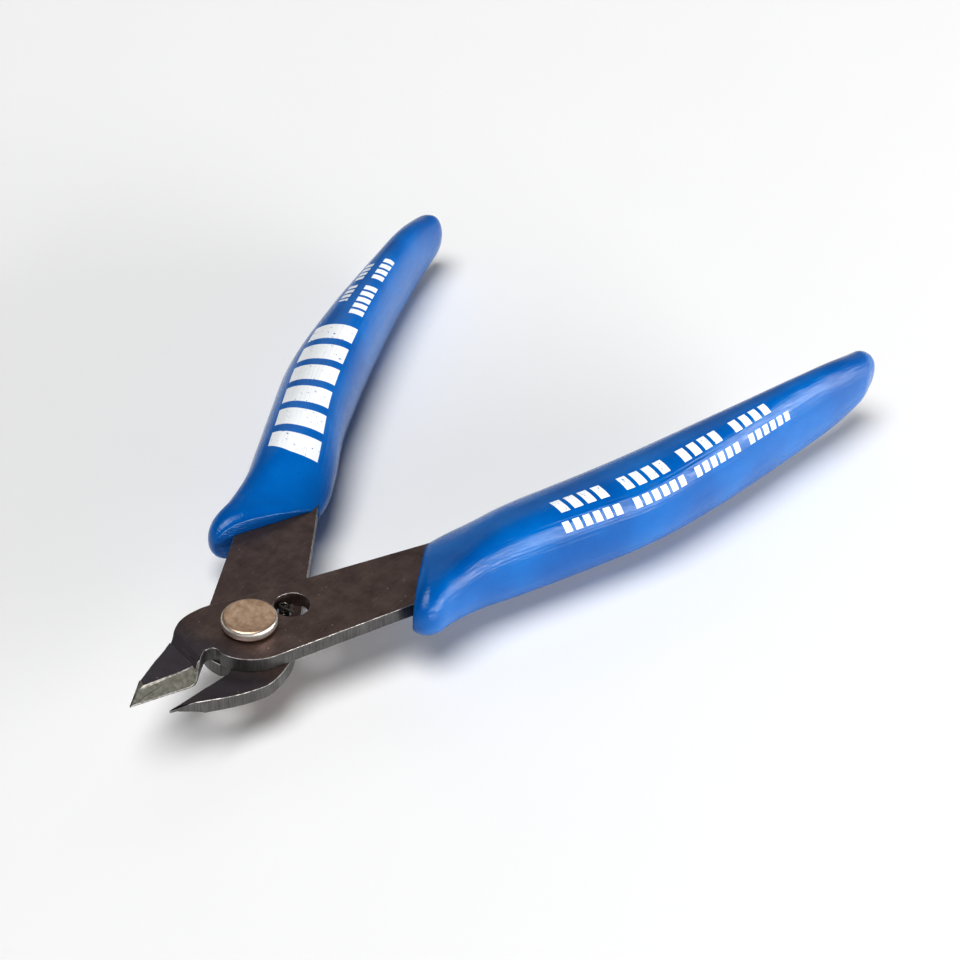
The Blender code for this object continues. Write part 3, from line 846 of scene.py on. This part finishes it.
def fill_world():
    """White surroundings, brightest at the horizon and nearly dark overhead."""
    world = bpy.data.worlds.new("studio")
    world.use_nodes = True
    nodes, links = world.node_tree.nodes, world.node_tree.links
    direction = nodes.new("ShaderNodeSeparateXYZ")
    links.new(nodes.new("ShaderNodeTexCoord").outputs["Generated"], direction.inputs[0])
    glow = nodes.new("ShaderNodeMapRange")
    links.new(direction.outputs[2], glow.inputs["Value"])
    for socket, value in (("From Min", 0.0), ("From Max", 0.45), ("To Min", 0.35), ("To Max", 0.03)):
        glow.inputs[socket].default_value = value
    background = nodes["Background"]
    background.inputs["Color"].default_value = (1.0, 1.0, 1.0, 1.0)
    links.new(glow.outputs["Result"], background.inputs["Strength"])
    bpy.context.scene.world = world


def light_studio():
    """A very soft overhead light, a low window at the side and a faint box behind."""
    fill_world()
    light = bpy.data.lights.new("overhead", "SUN")
    light.energy = 2.1
    light.angle = math.radians(40.0)
    overhead = bpy.data.objects.new("overhead", light)
    bpy.context.collection.objects.link(overhead)
    overhead.rotation_euler = from_pivot(-5.0, 72.0).to_track_quat("Z", "Y").to_euler()
    softbox("window", azimuth=101.0, elevation=9.0, distance=0.6, size=(0.85, 0.1), power_w=4.2)
    softbox("back", azimuth=211.0, elevation=38.0, distance=0.7, size=(0.6, 0.3), power_w=0.32)
    bpy.context.scene.view_settings.view_transform = "Standard"
    bpy.context.scene.view_settings.look = "Medium High Contrast"


def place_camera():
    """Camera that looks at the aim from its azimuth and elevation, rolled a little."""
    camera = bpy.data.cameras.new("camera")
    camera.lens = CAMERA_LENS_MM
    camera.clip_start = 0.01
    obj = bpy.data.objects.new("camera", camera)
    bpy.context.collection.objects.link(obj)
    back = from_pivot(CAMERA_AZIMUTH_DEG, CAMERA_ELEVATION_DEG)
    right = Vector((0, 0, 1)).cross(back).normalized()
    up = back.cross(right)
    roll = math.radians(CAMERA_ROLL_DEG)
    x_axis = right * math.cos(roll) + up * math.sin(roll)
    y_axis = up * math.cos(roll) - right * math.sin(roll)
    rotation = Matrix((x_axis, y_axis, back)).transposed()
    obj.matrix_world = Matrix.Translation(PIVOT + CAMERA_AIM + back * CAMERA_DISTANCE) @ rotation.to_4x4()
    bpy.context.scene.camera = obj


def install(piece, node, body):
    """Puts the piece on its body, in place of the plain node."""
    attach(piece, body)
    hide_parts(node)


def build():
    """Both halves, the rivet and the spring."""
    side = sheared_steel("sheared_steel")
    grind = ground_steel("ground_steel", 12.0)
    worn = worn_edge("worn_edge")
    jaw = oxide_steel("ground_oxide", (0.1, 0.068, 0.075), (0.18, 0.13, 0.14), 60.0)
    halves = (("upper", UPPER, -27.0, UPPER_PRINT), ("lower", LOWER, 27.0, LOWER_PRINT))
    for name, sign, turn_deg, rows in halves:
        body = f"{name}_half"
        oxide = oxide_steel(f"{name}_black_oxide", (0.085, 0.058, 0.052), (0.175, 0.125, 0.11), turn_deg)
        slots = (oxide, side, grind, jaw, worn)
        install(blade(f"{name}_blade_fine", sign, slots), f"{name}_blade", body)
        sleeve = grip(f"{name}_grip_fine", sign, vinyl(f"{name}_blue_vinyl", rows))
        install(sleeve, f"{name}_grip", body)
    pin = rivet("pivot_rivet_fine")
    pin.data.materials.append(rivet_steel("rivet_steel"))
    install(pin, "pivot_rivet", "lower_half")
    coil = spring("return_spring_fine")
    coil.data.materials.append(spring_steel("spring_steel"))
    install(coil, "return_spring", "lower_half")


place_camera()
build()
paint_floor()
light_studio()
